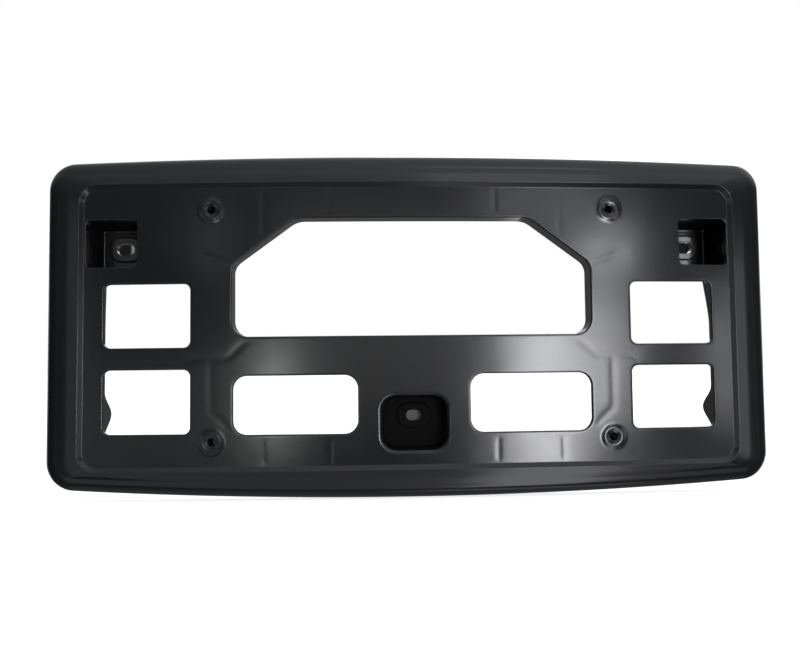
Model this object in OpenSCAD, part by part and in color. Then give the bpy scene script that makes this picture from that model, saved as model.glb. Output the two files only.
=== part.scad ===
// Number plate holder: one moulded piece that a number plate is screwed to
// and that is itself bolted to a car's bumper.
//
// Frame: +X to the right, +Z up, and the front face looks along -Y. The
// origin is in the middle of the four plate screws, level with the face
// there, so the middle of the bent face stands a little in front of it.
// Depths are measured along +Y from the bent face at the same X.

/* [Outline] */
// Width of the whole holder
holder_w = 385; // [372:1:420]
// Height of the whole holder, at the middle of its width
holder_h = 179.5; // [172:0.5:210]
// How far the middle of the outline lies below the middle of the screws
outline_drop = 0.5; // [0:0.1:3]
// Radius of the outline's corners
holder_corner_r = 14.5; // [9:0.5:20]
// How much the top edge falls from its middle to its ends
top_arch = 2.1; // [0:0.1:5]
// How much the bottom edge rises from its middle to its ends
bottom_arch = 5.6; // [0:0.1:7]
// Radius that the face is bent to, about an upright axis behind it
bend_r = 1900; // [1200:50:6000]

/* [Rim] */
// Width of the rim at each side
rim_side_w = 19.5; // [17:0.1:21]
// Width of the rim at the top and at the bottom
rim_end_w = 16.2; // [15:0.5:20]
// How far the rim stands in front of the recessed face
rim_rise = 1.8; // [0.8:0.1:3]
// Width of the slope between the face and the rim
slope_w = 2.4; // [1.5:0.1:3]
// Radius of the recess's corners
recess_corner_r = 8.5; // [6:0.5:14]
// How far the rim's flat falls back towards its shoulder
rim_fall = 0.9; // [0:0.1:1.5]
// Width of the rounded shoulder
shoulder_w = 7; // [5.5:0.5:8]
// Depth of the rounded shoulder
shoulder_d = 6; // [5:0.5:7]
// Depth of the skirt's back edge behind the face
skirt_d = 12; // [9:0.5:18]
// How much the skirt widens from the shoulder to its back edge
skirt_flare = 0.3; // [0:0.1:1]

/* [Walls] */
// Thickness of the face
face_t = 2.5; // [2:0.1:3.5]
// Thickness of the rim and its skirt
rim_t = 2.3; // [1.8:0.1:2.8]
// Thickness of the walls behind the face
wall_t = 2.2; // [1.6:0.1:3]
// Rounding of the windows' front edges
edge_r = 0.8; // [0.4:0.1:1.5]

/* [Plate screws] */
// Distance between the plate screws across the holder
screw_span_x = 210; // [206:1:214]
// Distance between the plate screws up the holder
screw_span_z = 120.6; // [116:0.2:124]
// Diameter of the screw holes
screw_d = 4; // [3:0.1:5]
// Depth of the screw holes behind the face
screw_hole_d = 13.5; // [8:0.5:15]
// Diameter of the bosses behind the face
boss_d = 9; // [7.5:0.5:10]
// Thickness of a boss's closed end
boss_end_t = 1.5; // [1:0.1:3]
// Diameter of the raised collar on the front, at its crest
collar_d = 9.6; // [9:0.2:11]
// Diameter of the collar where it meets the face
collar_foot_d = 13.4; // [12:0.2:15]
// Height of the collar above the face
collar_h = 0.5; // [0.3:0.1:0.8]
// Diameter of the dish in the collar
dish_d = 8.4; // [6:0.2:8.8]
// Depth of the dish
dish_h = 0.6; // [0.4:0.1:1]

/* [Big window] */
// Width of the face above the big window
top_bar = 17.3; // [14:0.1:24]
// Width of the face between the big window and the lower windows
middle_bar = 20.3; // [16:0.1:26]
// Width of the upright bars that carry the plate screws
upright_bar = 21.7; // [19:0.1:24]
// Width of the window's cut-off upper corners
corner_cut_w = 33.3; // [20:0.1:45]
// Height of the window's cut-off upper corners
corner_cut_h = 24.2; // [14:0.1:32]
// Radius where a cut-off corner meets the top edge
top_round_r = 12; // [6:1:18]
// Radius where a cut-off corner meets the side
side_round_r = 8; // [4:1:12]
// Radius of the window's lower corners
low_round_r = 8.5; // [4:0.5:14]
// Depth of the wall around the window
window_wall_d = 12; // [6:0.5:16]

/* [Side windows] */
// Width of the face outside the side windows
side_bar = 11.8; // [10:0.1:18]
// Width of a side window
side_window_w = 45.2; // [34:0.1:48]
// Height of a side window
side_window_h = 33.2; // [26:0.1:35]
// Width of the face between the two side windows
side_gap = 11.5; // [8:0.1:14]
// Width of the face under the lower side windows
side_bottom_bar = 18; // [16:0.1:22]
// Radius of the side windows' corners
side_window_r = 3.5; // [2:0.5:8]

/* [Lower windows] */
// Width of the face under the lower windows
bottom_bar = 17.4; // [14:0.1:22]
// Width of a lower window
lower_window_w = 64.4; // [50:0.1:68]
// Height of a lower window
lower_window_h = 30.3; // [24:0.1:34]
// Distance of their outer ends inside the big window's sides
lower_window_inset = 0.6; // [0:0.1:4]
// Radius of the lower windows' corners
lower_window_r = 7; // [4:0.5:11]

/* [Upper bolt pockets] */
// Width of a pocket's opening
pocket_w = 26.8; // [22:0.1:29]
// Height of a pocket's opening
pocket_h = 24.8; // [20:0.1:27]
// Distance of a pocket's outer side inside the recess
pocket_inset = 2.2; // [2:0.1:5]
// Radius of a pocket's corners
pocket_r = 2.4; // [1.5:0.1:5]
// Rounding of a pocket's front edge
pocket_lip_r = 0.5; // [0.3:0.1:0.8]
// Depth of a pocket's floor
pocket_d = 26.5; // [16:0.5:40]
// Draft of a pocket's walls, on each side
pocket_draft = 0.9; // [0.2:0.1:1.2]
// Length of the bolt slot, across the holder
bolt_slot_w = 9.6; // [7.6:0.1:12]
// Width of the bolt slot
bolt_slot_h = 6.6; // [4.5:0.1:7.5]
// Length of the raised pad round the bolt slot
bolt_pad_w = 18; // [15:0.5:20]
// Width of the raised pad round the bolt slot
bolt_pad_h = 14; // [11:0.5:16]
// Height of the bolt slot above the middle of its pocket
bolt_slot_rise = 0.8; // [0:0.1:2]

/* [Centre bolt pocket] */
// Width of the centre pocket's opening
centre_w = 33.8; // [28:0.1:38]
// Height of the centre pocket's opening
centre_h = 27.8; // [24:0.1:30]
// Distance of its lower side above the recess's lower edge
centre_bottom_bar = 8.7; // [7:0.1:11]
// Radius of the centre pocket's corners
centre_r = 7.5; // [5:0.5:10]
// Rounding of the centre pocket's front edge
centre_lip_r = 2; // [1:0.1:3]
// Depth of the centre pocket's floor
centre_d = 12; // [8:0.5:20]
// Length of the centre slot, across the holder
centre_slot_w = 8; // [6.4:0.1:10]
// Width of the centre slot
centre_slot_h = 5.6; // [4:0.1:6.4]
// Height of the centre slot above the middle of its pocket
centre_slot_rise = 3.4; // [1:0.1:4.5]
// Length of the raised pad round the centre slot
centre_pad_w = 18; // [14:0.5:22]
// Width of the raised pad round the centre slot
centre_pad_h = 13.2; // [10:0.2:15]

/* [Pocket floors] */
// Thickness of the pockets' floors
floor_t = 3; // [2:0.1:5]
// Height of the raised pads on the floors
pad_t = 1.4; // [0.6:0.1:2.5]

/* [Ribs] */
// Thickness of the ribs behind the face
rib_t = 1.8; // [1.2:0.1:2.4]
// Depth of the ribs behind the face
rib_d = 9; // [6:0.5:11]
// Distance of the inner ribs from the middle
inner_rib_x = 43.5; // [38:0.5:52]
// Distance of the outer ribs from the middle
outer_rib_x = 78; // [70:0.5:82]
// Depth of the contact ribs beside the side windows
contact_d = 4; // [3.2:0.1:6]
// Depth of the contact ribs at their hump
hump_d = 15; // [9:0.5:20]
// Distance of the hump's crest above the recess's lower edge
hump_z = 28; // [24:0.5:32]
// Half the length of the hump
hump_half_l = 12; // [8:0.5:14]
// Height of the ramps' feet above the upper side windows' lower edges
ramp_foot = 11; // [4:0.5:20]
// How much deeper the right contact rib gets at its pocket
right_ramp_d = 10; // [4:0.5:12]
// How much deeper the left contact rib gets at its pocket
left_ramp_d = 2; // [0:0.5:12]
// Height of the bent ribs' knees above the lower windows' lower edges
knee_rise = 12; // [8:0.5:20]
// Length across the holder of the ribs at the big window's cut-off corners
corner_rib_w = 13; // [8:0.5:18]
// How much those ribs rise on their way out
corner_rib_rise = 4.4; // [2:0.1:8]

/* [Smoothness] */
// Longest straight step along the bend
bend_step = 18; // [10:1:30]
// Steps round each corner
corner_steps = 8; // [4:1:12]
// Steps round the rim's shoulder
shoulder_steps = 6; // [3:1:10]
// Steps along a contact rib
contact_steps = 48; // [24:4:80]

/* [Hidden] */

// Names for the sides, used as a sign along X
LEFT = -1;
RIGHT = 1;

// Distance that a joined piece sinks into the one that carries it
sink = 1.2;
// Distance that a cut runs past a surface
past = 2;
// The same for the shallow cones of the screw collars, which spread quickly
cone_past = 0.3;
// How far the sheet of the face stops short of the recess's edge, inside
// the foot of the rim
face_inset = 0.6;
// How slowly the contact ribs' ramps start
ramp_power = 1.3;
// Segments round a bore and round the bend
bore_fn = 64;
bend_fn = 1440;
// Steps round the front edges of the windows and of the centre pocket
edge_steps = 2;
lip_steps = 4;
// Steps of the end ribs' front edges inside the shoulder
rib_arc_steps = 3;
// Steps along the rim's straight ends and sides
end_splits = ceil(holder_w / bend_step);
side_splits = 2;

// Outline and recess
half_w = holder_w / 2;
outline_top = holder_h / 2 - outline_drop;
outline_bottom = -holder_h / 2 - outline_drop;
recess_half_w = half_w - rim_side_w;
recess_top = outline_top - rim_end_w;
recess_bottom = outline_bottom + rim_end_w;

// Side windows, from the outside in
side_out_x = recess_half_w - side_bar;
side_in_x = side_out_x - side_window_w;
low_side_bottom = recess_bottom + side_bottom_bar;
low_side_top = low_side_bottom + side_window_h;
high_side_bottom = low_side_top + side_gap;
high_side_top = high_side_bottom + side_window_h;

// Lower windows and the big window above them
big_half_w = side_in_x - upright_bar;
lower_out_x = big_half_w - lower_window_inset;
lower_in_x = lower_out_x - lower_window_w;
lower_bottom = recess_bottom + bottom_bar;
lower_top = lower_bottom + lower_window_h;
big_bottom = lower_top + middle_bar;
big_top = recess_top - top_bar;

// Pockets
pocket_x = recess_half_w - pocket_inset - pocket_w / 2;
pocket_z = big_top - pocket_h / 2;
centre_z = recess_bottom + centre_bottom_bar + centre_h / 2;

// The face is bent about an upright axis that lies this far behind the origin
bend_axis_y = sqrt(pow(bend_r, 2) - pow(screw_span_x / 2, 2));
// How far the face lies behind the origin at a given X
function bend(x) = bend_axis_y - sqrt(bend_r * bend_r - x * x);
// The same along the face's tangent at X = c
function tangent(x, c) = bend(c) + (x - c) * c / sqrt(bend_r * bend_r - c * c);
// A place well in front of the whole holder
front_y = bend(0) - rim_rise - collar_h - past;
// Front surfaces of the pockets' floors, which stand square to Y
pocket_floor_y = bend(pocket_x) + pocket_d;
centre_floor_y = bend(0) + centre_d;

function unit(v) = v / norm(v);
// Outward normal of the edge from a to b, on an outline that runs
// anticlockwise
function edge_normal(a, b) = let (u = unit(b - a)) [u[1], -u[0]];

// An outline is a list of corners [x, z, radius], anticlockwise and convex.
function at(c, i) = let (p = c[(i + len(c)) % len(c)]) [p[0], p[1]];
// The arc of corner i, with the outline grown by g
function corner_arc(c, i, g) =
    let (na = edge_normal(at(c, i - 1), at(c, i)),
         nb = edge_normal(at(c, i), at(c, i + 1)),
         r = c[i][2],
         middle = at(c, i) - (na + nb) * r / (1 + na * nb),
         start = atan2(na[1], na[0]),
         turn = acos(na * nb))
    [for (k = [0:corner_steps]) let (a = start + turn * k / corner_steps)
        middle + (r + g) * [cos(a), sin(a)]];
function rounded(c, g = 0) = [for (i = [0:len(c) - 1]) each corner_arc(c, i, g)];

// The same outline with its long edges split, so that it follows the bend.
// The split is that of the outline before it is grown, so that grown copies
// have their points side by side.
function split_count(a, b) = max(1, ceil(abs(b[0] - a[0]) / bend_step));
function split(c, g = 0) =
    let (base = rounded(c), grown = rounded(c, g), n = len(base))
    [for (i = [0:n - 1]) let (j = (i + 1) % n, m = split_count(base[i], base[j]))
        for (k = [0:m - 1]) grown[i] + (grown[j] - grown[i]) * k / m];

function rectangle(x0, x1, z0, z1, r) =
    [[x0, z0, r], [x1, z0, r], [x1, z1, r], [x0, z1, r]];

// Rounded front edge of an opening, as [growth, depth] from the front to the
// wall. The first point runs on past the face, in line with the last chord.
function front_edge(r, n) =
    let (arc = [for (k = [0:n]) let (a = 90 * k / n) [r - r * cos(a), r - r * sin(a)]])
    [2 * arc[n] - arc[n - 1], for (k = [n - 1:-1:0]) arc[k]];

// Solid through a list of rings that all have n points. Each end is closed
// by a fan about its middle.
function middle(ring) = let (ones = [for (p = ring) 1]) ones * ring / len(ring);

module loft(rings) {
    n = len(rings[0]);
    last = len(rings) - 1;
    front_middle = n * (last + 1);
    points = [for (ring = rings) each ring, middle(rings[0]), middle(rings[last])];
    faces = [for (i = [0:n - 1]) let (j = (i + 1) % n) each [
        [j, i, front_middle],
        [last * n + i, last * n + j, front_middle + 1],
        for (k = [0:last - 1]) each [[k * n + i, k * n + j, (k + 1) * n + i],
                                     [k * n + j, (k + 1) * n + j, (k + 1) * n + i]]]];
    polyhedron(points, faces);
}

// Sheet between two depths behind the bent face, larger than the holder
module bent_sheet(d0, d1) {
    reach = asin(holder_w / bend_r);
    translate([0, bend_axis_y, 0])
        rotate_extrude(angle = 2 * reach, start = -90 - reach, $fn = bend_fn)
            translate([bend_r - d1, -holder_h])
                square([d1 - d0, 2 * holder_h]);
}

// Outline carried straight along Y
module prism(points, y0, y1)
    translate([0, y1, 0]) rotate([90, 0, 0]) linear_extrude(y1 - y0) polygon(points);

// Upright wall with its flat sides square to X. The profile is in [y, z].
module upright_wall(x, t, profile)
    translate([x - t / 2, 0, 0]) rotate([90, 0, 90]) linear_extrude(t) polygon(profile);

// Round bar along Y, optionally tapered
module bar_y(x, z, d, y0, y1, d_end = undef)
    translate([x, y0, z]) rotate([-90, 0, 0])
        cylinder(d1 = d, d2 = is_undef(d_end) ? d : d_end, h = y1 - y0, $fn = bore_fn);

// Round bar that stands square to the bent face, from y0 to y1 behind it
module bar_on_face(x, z, d, y0, y1, d_end)
    translate([x, bend(x), z]) rotate([0, 0, asin(x / bend_r)])
        bar_y(0, 0, d, y0, y1, d_end);

// Bar with round ends along Y, longer across the holder
module slot_y(x, z, w, h, y0, y1) {
    for (side = [LEFT, RIGHT]) bar_y(x + side * (w - h) / 2, z, h, y0, y1);
    translate([x - (w - h) / 2, y0, z - h / 2]) cube([w - h, y1 - y0, h]);
}

// Outlines of the openings
big_window = [
    [-big_half_w, big_bottom, low_round_r],
    [big_half_w, big_bottom, low_round_r],
    [big_half_w, big_top - corner_cut_h, side_round_r],
    [big_half_w - corner_cut_w, big_top, top_round_r],
    [-big_half_w + corner_cut_w, big_top, top_round_r],
    [-big_half_w, big_top - corner_cut_h, side_round_r]];

function lower_window(side) = side == RIGHT
    ? rectangle(lower_in_x, lower_out_x, lower_bottom, lower_top, lower_window_r)
    : rectangle(-lower_out_x, -lower_in_x, lower_bottom, lower_top, lower_window_r);

function side_window(side, z0) = side == RIGHT
    ? rectangle(side_in_x, side_out_x, z0, z0 + side_window_h, side_window_r)
    : rectangle(-side_out_x, -side_in_x, z0, z0 + side_window_h, side_window_r);

function pocket(x, z, w, h, r) = rectangle(x - w / 2, x + w / 2, z - h / 2, z + h / 2, r);

// The flat of the recess, bent as one sheet
module face() {
    outline = rectangle(-recess_half_w + face_inset, recess_half_w - face_inset,
                        recess_bottom + face_inset, recess_top - face_inset,
                        recess_corner_r - face_inset);
    intersection() {
        bent_sheet(0, face_t);
        prism(rounded(outline), front_y, bend(recess_half_w) + face_t + past);
    }
}

// Rim: one section carried round the outline. Each station names the corner
// behind it and the corner ahead, how far it lies between them, and the angle
// of the normal that the outline and the recess's edge share there.
stations =
    let (corners = [[RIGHT, 1], [LEFT, 1], [LEFT, -1], [RIGHT, -1]])
    [for (i = [0:3]) let (c = corners[i], next = corners[(i + 1) % 4],
                          m = i % 2 == 0 ? end_splits : side_splits)
        each concat(
            [for (k = [0:corner_steps]) [c, c, 0, 90 * i + 90 * k / corner_steps]],
            [for (k = [1:m - 1]) [c, next, k / m, 90 * (i + 1)]])];

// Point of a rounded frame at a station. The corner before and the corner
// after are mixed along the straight edges.
function frame_point(s, hw, top, bottom, r) =
    let (a = [s[0][0] * (hw - r), s[0][1] > 0 ? top - r : bottom + r],
         b = [s[1][0] * (hw - r), s[1][1] > 0 ? top - r : bottom + r])
    a + (b - a) * s[2] + r * [cos(s[3]), sin(s[3])];

// How far the outline's top or bottom edge has come towards the middle at X
function arch(x, up) = pow(x / half_w, 2) * (up > 0 ? top_arch : -bottom_arch);

// The quarter round of the shoulder as [growth, depth], with one radius
// across the rim and one into the depth
function shoulder_arc(across, deep) =
    [for (k = [0:shoulder_steps]) let (a = 90 * k / shoulder_steps)
        [-across * (1 - sin(a)), deep * (1 - cos(a))]];

// The rim's section as [from, growth, depth], front surface first and back
// surface last. The growth is measured from the recess's edge where from is
// 0, and from the outline where it is 1.
function rim_section() =
    let (half = slope_w / 2, foot = half + sink * slope_w / rim_rise,
         shoulder_y = rim_fall - rim_rise,
         outer = shoulder_arc(shoulder_w, shoulder_d),
         inner = shoulder_arc(shoulder_w - rim_t, shoulder_d - rim_t))
    concat(
        [[0, -foot, sink],
         [0, half, -rim_rise]],
        [for (p = outer) [1, p[0] - skirt_flare, p[1] + shoulder_y]],
        [[1, 0, skirt_d],
         [1, -rim_t, skirt_d]],
        [for (k = [shoulder_steps:-1:0]) let (p = inner[k])
            [1, p[0] - skirt_flare - rim_t, p[1] + shoulder_y + rim_t]],
        [[0, half, rim_t - rim_rise],
         [0, -half, rim_t],
         [0, -foot, (sink + rim_t) / 2]]);

module rim() {
    section = rim_section();
    n = len(section);
    m = len(stations);
    points = [for (s = stations, q = section)
        let (inner = frame_point(s, recess_half_w, recess_top, recess_bottom,
                                 recess_corner_r),
             outer = frame_point(s, half_w, outline_top, outline_bottom,
                                 holder_corner_r),
             arched = outer - [0, arch(outer[0], outer[1])],
             p = (q[0] == 0 ? inner : arched) + q[1] * [cos(s[3]), sin(s[3])])
        [p[0], bend(p[0]) + q[2], p[1]]];
    faces = [for (i = [0:m - 1], k = [0:n - 1])
        let (a = i * n + k, b = i * n + (k + 1) % n,
             c = ((i + 1) % m) * n + k, d = ((i + 1) % m) * n + (k + 1) % n)
        each [[a, d, b], [a, c, d]]];
    polyhedron(points, faces);
}

// Wall around the big window
module window_wall() {
    intersection() {
        bent_sheet(sink, window_wall_d);
        prism(rounded(big_window, wall_t), front_y, bend(half_w) + window_wall_d);
    }
}

// Opening through the face, with a rounded front edge
module opening(outline) {
    edge = front_edge(edge_r, edge_steps);
    far = bend(half_w) + window_wall_d + hump_d + past;
    loft([
        [for (p = split(outline, edge[0][0])) [p[0], front_y, p[1]]],
        for (e = edge) [for (p = split(outline, e[0])) [p[0], bend(p[0]) + e[1], p[1]]],
        [for (p = split(outline)) [p[0], far, p[1]]]]);
}

module openings() {
    opening(big_window);
    for (side = [LEFT, RIGHT]) {
        opening(lower_window(side));
        opening(side_window(side, low_side_bottom));
        opening(side_window(side, high_side_bottom));
    }
}

// Pocket for a bolt: its outer shell, the hollow that is cut into it, and the
// pad that the hollow leaves standing on its floor
module pocket_shell(x, z, w, h, r, depth) {
    outline = pocket(x, z, w, h, r);
    back = bend(x) + depth + floor_t;
    loft([
        [for (p = rounded(outline, wall_t)) [p[0], tangent(p[0], x) + sink, p[1]]],
        [for (p = rounded(outline, wall_t - pocket_draft)) [p[0], back, p[1]]]]);
}

module pocket_hollow(x, z, w, h, r, depth, lip_r, lip_n) {
    outline = pocket(x, z, w, h, r);
    edge = front_edge(lip_r, lip_n);
    loft([
        [for (p = rounded(outline, edge[0][0])) [p[0], front_y, p[1]]],
        for (e = edge) [for (p = rounded(outline, e[0])) [p[0], tangent(p[0], x) + e[1], p[1]]],
        [for (p = rounded(outline, -pocket_draft)) [p[0], bend(x) + depth, p[1]]]]);
}

module pocket_shells() {
    for (side = [LEFT, RIGHT])
        pocket_shell(side * pocket_x, pocket_z, pocket_w, pocket_h, pocket_r, pocket_d);
    pocket_shell(0, centre_z, centre_w, centre_h, centre_r, centre_d);
}

module pocket_hollows() {
    difference() {
        union() {
            for (side = [LEFT, RIGHT])
                pocket_hollow(side * pocket_x, pocket_z, pocket_w, pocket_h, pocket_r,
                              pocket_d, pocket_lip_r, edge_steps);
            pocket_hollow(0, centre_z, centre_w, centre_h, centre_r, centre_d,
                          centre_lip_r, lip_steps);
        }
        bolt_pads();
    }
}

module bolt_pads() {
    for (side = [LEFT, RIGHT])
        slot_y(side * pocket_x, pocket_z + bolt_slot_rise, bolt_pad_w, bolt_pad_h,
               pocket_floor_y - pad_t, pocket_floor_y + sink);
    slot_y(0, centre_z + centre_slot_rise, centre_pad_w, centre_pad_h,
           centre_floor_y - pad_t, centre_floor_y + sink);
}

module bolt_slots() {
    for (side = [LEFT, RIGHT])
        slot_y(side * pocket_x, pocket_z + bolt_slot_rise, bolt_slot_w, bolt_slot_h,
               pocket_floor_y - pad_t - past, pocket_floor_y + floor_t + past);
    slot_y(0, centre_z + centre_slot_rise, centre_slot_w, centre_slot_h,
           centre_floor_y - pad_t - past, centre_floor_y + floor_t + past);
}

// Places of the plate screws
screw_places = [for (sx = [LEFT, RIGHT], sz = [-1, 1])
    [sx * screw_span_x / 2, sz * screw_span_z / 2]];

// Growth in diameter of the collar's outer cone and of its dish, for each
// millimetre of depth
collar_flare = (collar_foot_d - collar_d) / collar_h;
dish_flare = (dish_d - screw_d) / dish_h;
// Diameter at which the dish ends, inside the screw hole
dish_end_d = screw_d / 2;

module screw_bosses() {
    for (p = screw_places) {
        y = bend(p[0]);
        bar_y(p[0], p[1], boss_d, y + sink, y + screw_hole_d + boss_end_t);
        bar_on_face(p[0], p[1], collar_d, -collar_h, cone_past,
                    collar_foot_d + collar_flare * cone_past);
    }
}

module screw_holes() {
    for (p = screw_places) {
        y = bend(p[0]);
        bar_y(p[0], p[1], screw_d, y - collar_h - past, y + screw_hole_d);
        bar_on_face(p[0], p[1], dish_d + dish_flare * cone_past, -collar_h - cone_past,
                    -collar_h + (dish_d - dish_end_d) / dish_flare, dish_end_d);
    }
}

// Rib from an opening out to the skirt, at the top or at the bottom. Its
// front edge runs inside the face, the slope, the rim and the shoulder.
module end_rib(x, from_z, up) {
    edge = (up > 0 ? outline_top : outline_bottom) - arch(x, up);
    step_z = up > 0 ? recess_top : recess_bottom;
    y = bend(x);
    shoulder_y = y + rim_fall - rim_rise + shoulder_d;
    shoulder_z = edge - up * (skirt_flare + shoulder_w);
    upright_wall(x, rib_t, concat(
        [[y + rib_d, from_z],
         [y + sink, from_z],
         [y + sink, step_z - up * slope_w / 2],
         [y + rim_t / 2 - rim_rise, step_z + up * slope_w / 2]],
        [for (k = [0:rib_arc_steps]) let (a = 90 * k / rib_arc_steps)
            [shoulder_y - (shoulder_d - rim_t / 2) * cos(a),
             shoulder_z + up * (shoulder_w - rim_t / 2) * sin(a)]],
        [[y + rib_d, edge - up * (skirt_flare + rim_t / 2)]]));
}

module end_ribs() {
    cut_slope = corner_cut_h / corner_cut_w;
    for (side = [LEFT, RIGHT]) {
        end_rib(side * inner_rib_x, big_top + wall_t / 2, 1);
        end_rib(side * outer_rib_x,
                big_top - (outer_rib_x - big_half_w + corner_cut_w) * cut_slope
                    + wall_t / 2, 1);
        for (x = [inner_rib_x, outer_rib_x]) end_rib(side * x, lower_bottom - rib_t, -1);
    }
}

// Low ribs behind the face that run between two points [x, z]
module face_rib(a, b) {
    n = edge_normal(a, b) * rib_t / 2;
    e = unit(b - a) * rib_t / 2;
    intersection() {
        bent_sheet(sink, rib_d);
        prism([a - e + n, a - e - n, b + e - n, b + e + n], front_y, bend(half_w) + rib_d);
    }
}

module face_ribs() {
    bar_x = big_half_w + upright_bar / 2;
    gap_z = low_side_top + side_gap / 2;
    knee_z = lower_bottom + knee_rise;
    for (side = [LEFT, RIGHT]) {
        route = [[side * (big_half_w - low_round_r), big_bottom - wall_t / 2],
                 [side * (big_half_w + wall_t), gap_z],
                 [side * bar_x, gap_z],
                 [side * bar_x, knee_z],
                 [side * (lower_out_x + wall_t), lower_bottom + lower_window_r / 2]];
        for (i = [0:len(route) - 2]) face_rib(route[i], route[i + 1]);
        face_rib([side * bar_x, gap_z], [side * side_in_x, gap_z]);
        face_rib([side * big_half_w, big_top - corner_cut_h],
                 [side * (big_half_w + corner_rib_w),
                  big_top - corner_cut_h + corner_rib_rise]);
    }
}

// Contact rib at the outer edge of the side windows. Its back edge follows
// the bumper: a hump low down and a ramp up to the pocket.
function ramp(side) = side == RIGHT ? right_ramp_d : left_ramp_d;
function contact_depth(z, side) =
    let (t = (z - recess_bottom - hump_z) / hump_half_l,
         hump = abs(t) < 1 ? pow(cos(90 * t), 2) : 0,
         foot = high_side_bottom + ramp_foot,
         head = pocket_z - pocket_h / 2,
         u = max(0, (z - foot) / (head - foot)))
    contact_d + (hump_d - contact_d) * hump + ramp(side) * pow(u, ramp_power);

module contact_ribs() {
    x = side_out_x + wall_t / 2;
    z0 = low_side_bottom - wall_t;
    z1 = pocket_z - pocket_h / 2 - wall_t / 2;
    for (side = [LEFT, RIGHT])
        upright_wall(side * x, wall_t, concat(
            [[bend(x) + sink, z1], [bend(x) + sink, z0]],
            [for (k = [0:contact_steps]) let (z = z0 + (z1 - z0) * k / contact_steps)
                [bend(x) + contact_depth(z, side), z]]));
}

module plate_holder() color("#1d1e20") {
    difference() {
        union() {
            face();
            rim();
            window_wall();
            pocket_shells();
            screw_bosses();
            end_ribs();
            face_ribs();
            contact_ribs();
        }
        openings();
        pocket_hollows();
        screw_holes();
        bolt_slots();
    }
}

plate_holder();
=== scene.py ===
"""Looks of a moulded number plate holder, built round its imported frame.

The holder is one moulding in satin black plastic. Its skin is worked out in
millimetres from outlines and profiles: a profile is carried round an outline,
a sheet fills the space between outlines, and ribs are flat bars with rounded
edges. Depth runs along +Y from the bent face, X is to the right and Z is up.
"""

from math import ceil, cos, hypot, pi, radians, sin, sqrt, tan

import bmesh
import bpy
import numpy as np
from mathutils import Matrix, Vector
from mathutils.geometry import delaunay_2d_cdt


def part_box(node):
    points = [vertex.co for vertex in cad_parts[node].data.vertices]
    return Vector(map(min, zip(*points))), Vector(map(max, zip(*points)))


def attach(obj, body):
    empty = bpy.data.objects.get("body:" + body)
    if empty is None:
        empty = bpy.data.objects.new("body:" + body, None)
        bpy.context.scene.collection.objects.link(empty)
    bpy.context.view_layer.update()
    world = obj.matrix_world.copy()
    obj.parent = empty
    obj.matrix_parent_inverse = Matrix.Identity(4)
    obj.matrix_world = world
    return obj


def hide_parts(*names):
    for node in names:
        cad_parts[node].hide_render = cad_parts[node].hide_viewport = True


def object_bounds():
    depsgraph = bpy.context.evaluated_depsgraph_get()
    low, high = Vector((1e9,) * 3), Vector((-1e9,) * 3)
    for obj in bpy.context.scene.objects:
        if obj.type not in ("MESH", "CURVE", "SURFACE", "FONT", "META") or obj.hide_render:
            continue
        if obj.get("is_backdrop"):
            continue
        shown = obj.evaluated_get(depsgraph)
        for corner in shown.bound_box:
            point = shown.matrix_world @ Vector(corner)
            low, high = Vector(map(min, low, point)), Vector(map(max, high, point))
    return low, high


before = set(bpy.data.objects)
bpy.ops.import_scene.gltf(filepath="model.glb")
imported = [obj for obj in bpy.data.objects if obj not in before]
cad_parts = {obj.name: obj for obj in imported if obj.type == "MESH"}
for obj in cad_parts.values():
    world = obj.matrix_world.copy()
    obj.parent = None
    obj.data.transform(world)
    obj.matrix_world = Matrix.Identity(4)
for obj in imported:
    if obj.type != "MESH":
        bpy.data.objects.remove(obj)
cad_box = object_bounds()

NODE = "plate_holder"
MM = 0.001
LEFT, RIGHT = -1, 1
DOWN, UP = -1, 1

# Outline, from the frame
low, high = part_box(NODE)
HALF_W = (high.x - low.x) / 2 / MM
TOP = high.z / MM
BOTTOM = low.z / MM
CORNER_R = 14.5
TOP_ARCH = 2.1
BOTTOM_ARCH = 5.6
BEND_R = 1900.0

# Rim
RIM_SIDE_W = 19.5
RIM_END_W = 16.2
RIM_RISE = 1.8
SLOPE_W = 2.4
RECESS_R = 8.5
RIM_FALL = 0.9
SHOULDER_W = 7.0
SHOULDER_D = 6.0
# How far before the shoulder the rim's flat starts to ease into it, and how much deeper it gets
EASE_W = 6.0
EASE_D = 0.45
EASE_STEPS = 8
SKIRT_D = 12.0
SKIRT_FLARE = 0.3
# Roundings of the slope: in front, and behind at the recess's edge and at the rim's
SLOPE_ROUND = 0.5
SLOPE_RECESS_ROUND = 0.7
SLOPE_RIM_ROUND = 1.0
# Parts that the straight stretches at the bottom, right, top and left are split into
RIM_SPLITS = [88, 36, 88, 36]

# Walls
FACE_T = 2.5
RIM_T = 2.3
WALL_T = 2.2
FRONT_ROUND = 0.8
BACK_ROUND = 0.5
FOOT_ROUND = 0.8

# Flat strips at the ends of the carried profiles, where a sheet joins on
SEAM = 0.8
RIM_SEAM = 0.25
LIP_SEAM = 0.1
MOUTH_SEAM = 0.4
FLOOR_SEAM = 1.3
PAD_SEAM = 1.0
PAD_TOP_SEAM = 1.2
SLOT_SEAM = 0.9
CUP_SEAM = 1.4
FOOT_SEAM = 0.3
# How far the foot of a wall reaches out on the back of the face
FOOT = WALL_T + FOOT_ROUND + FOOT_SEAM
# Depth at which the foot of a pocket's cup turns into the face, and the places inside the face
# where the cup ends, as [growth, depth]
CUP_FOOT_D = FACE_T - 0.15
CUP_ROOT = ((FOOT, 0.4), (0.2, 1.9))

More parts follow.
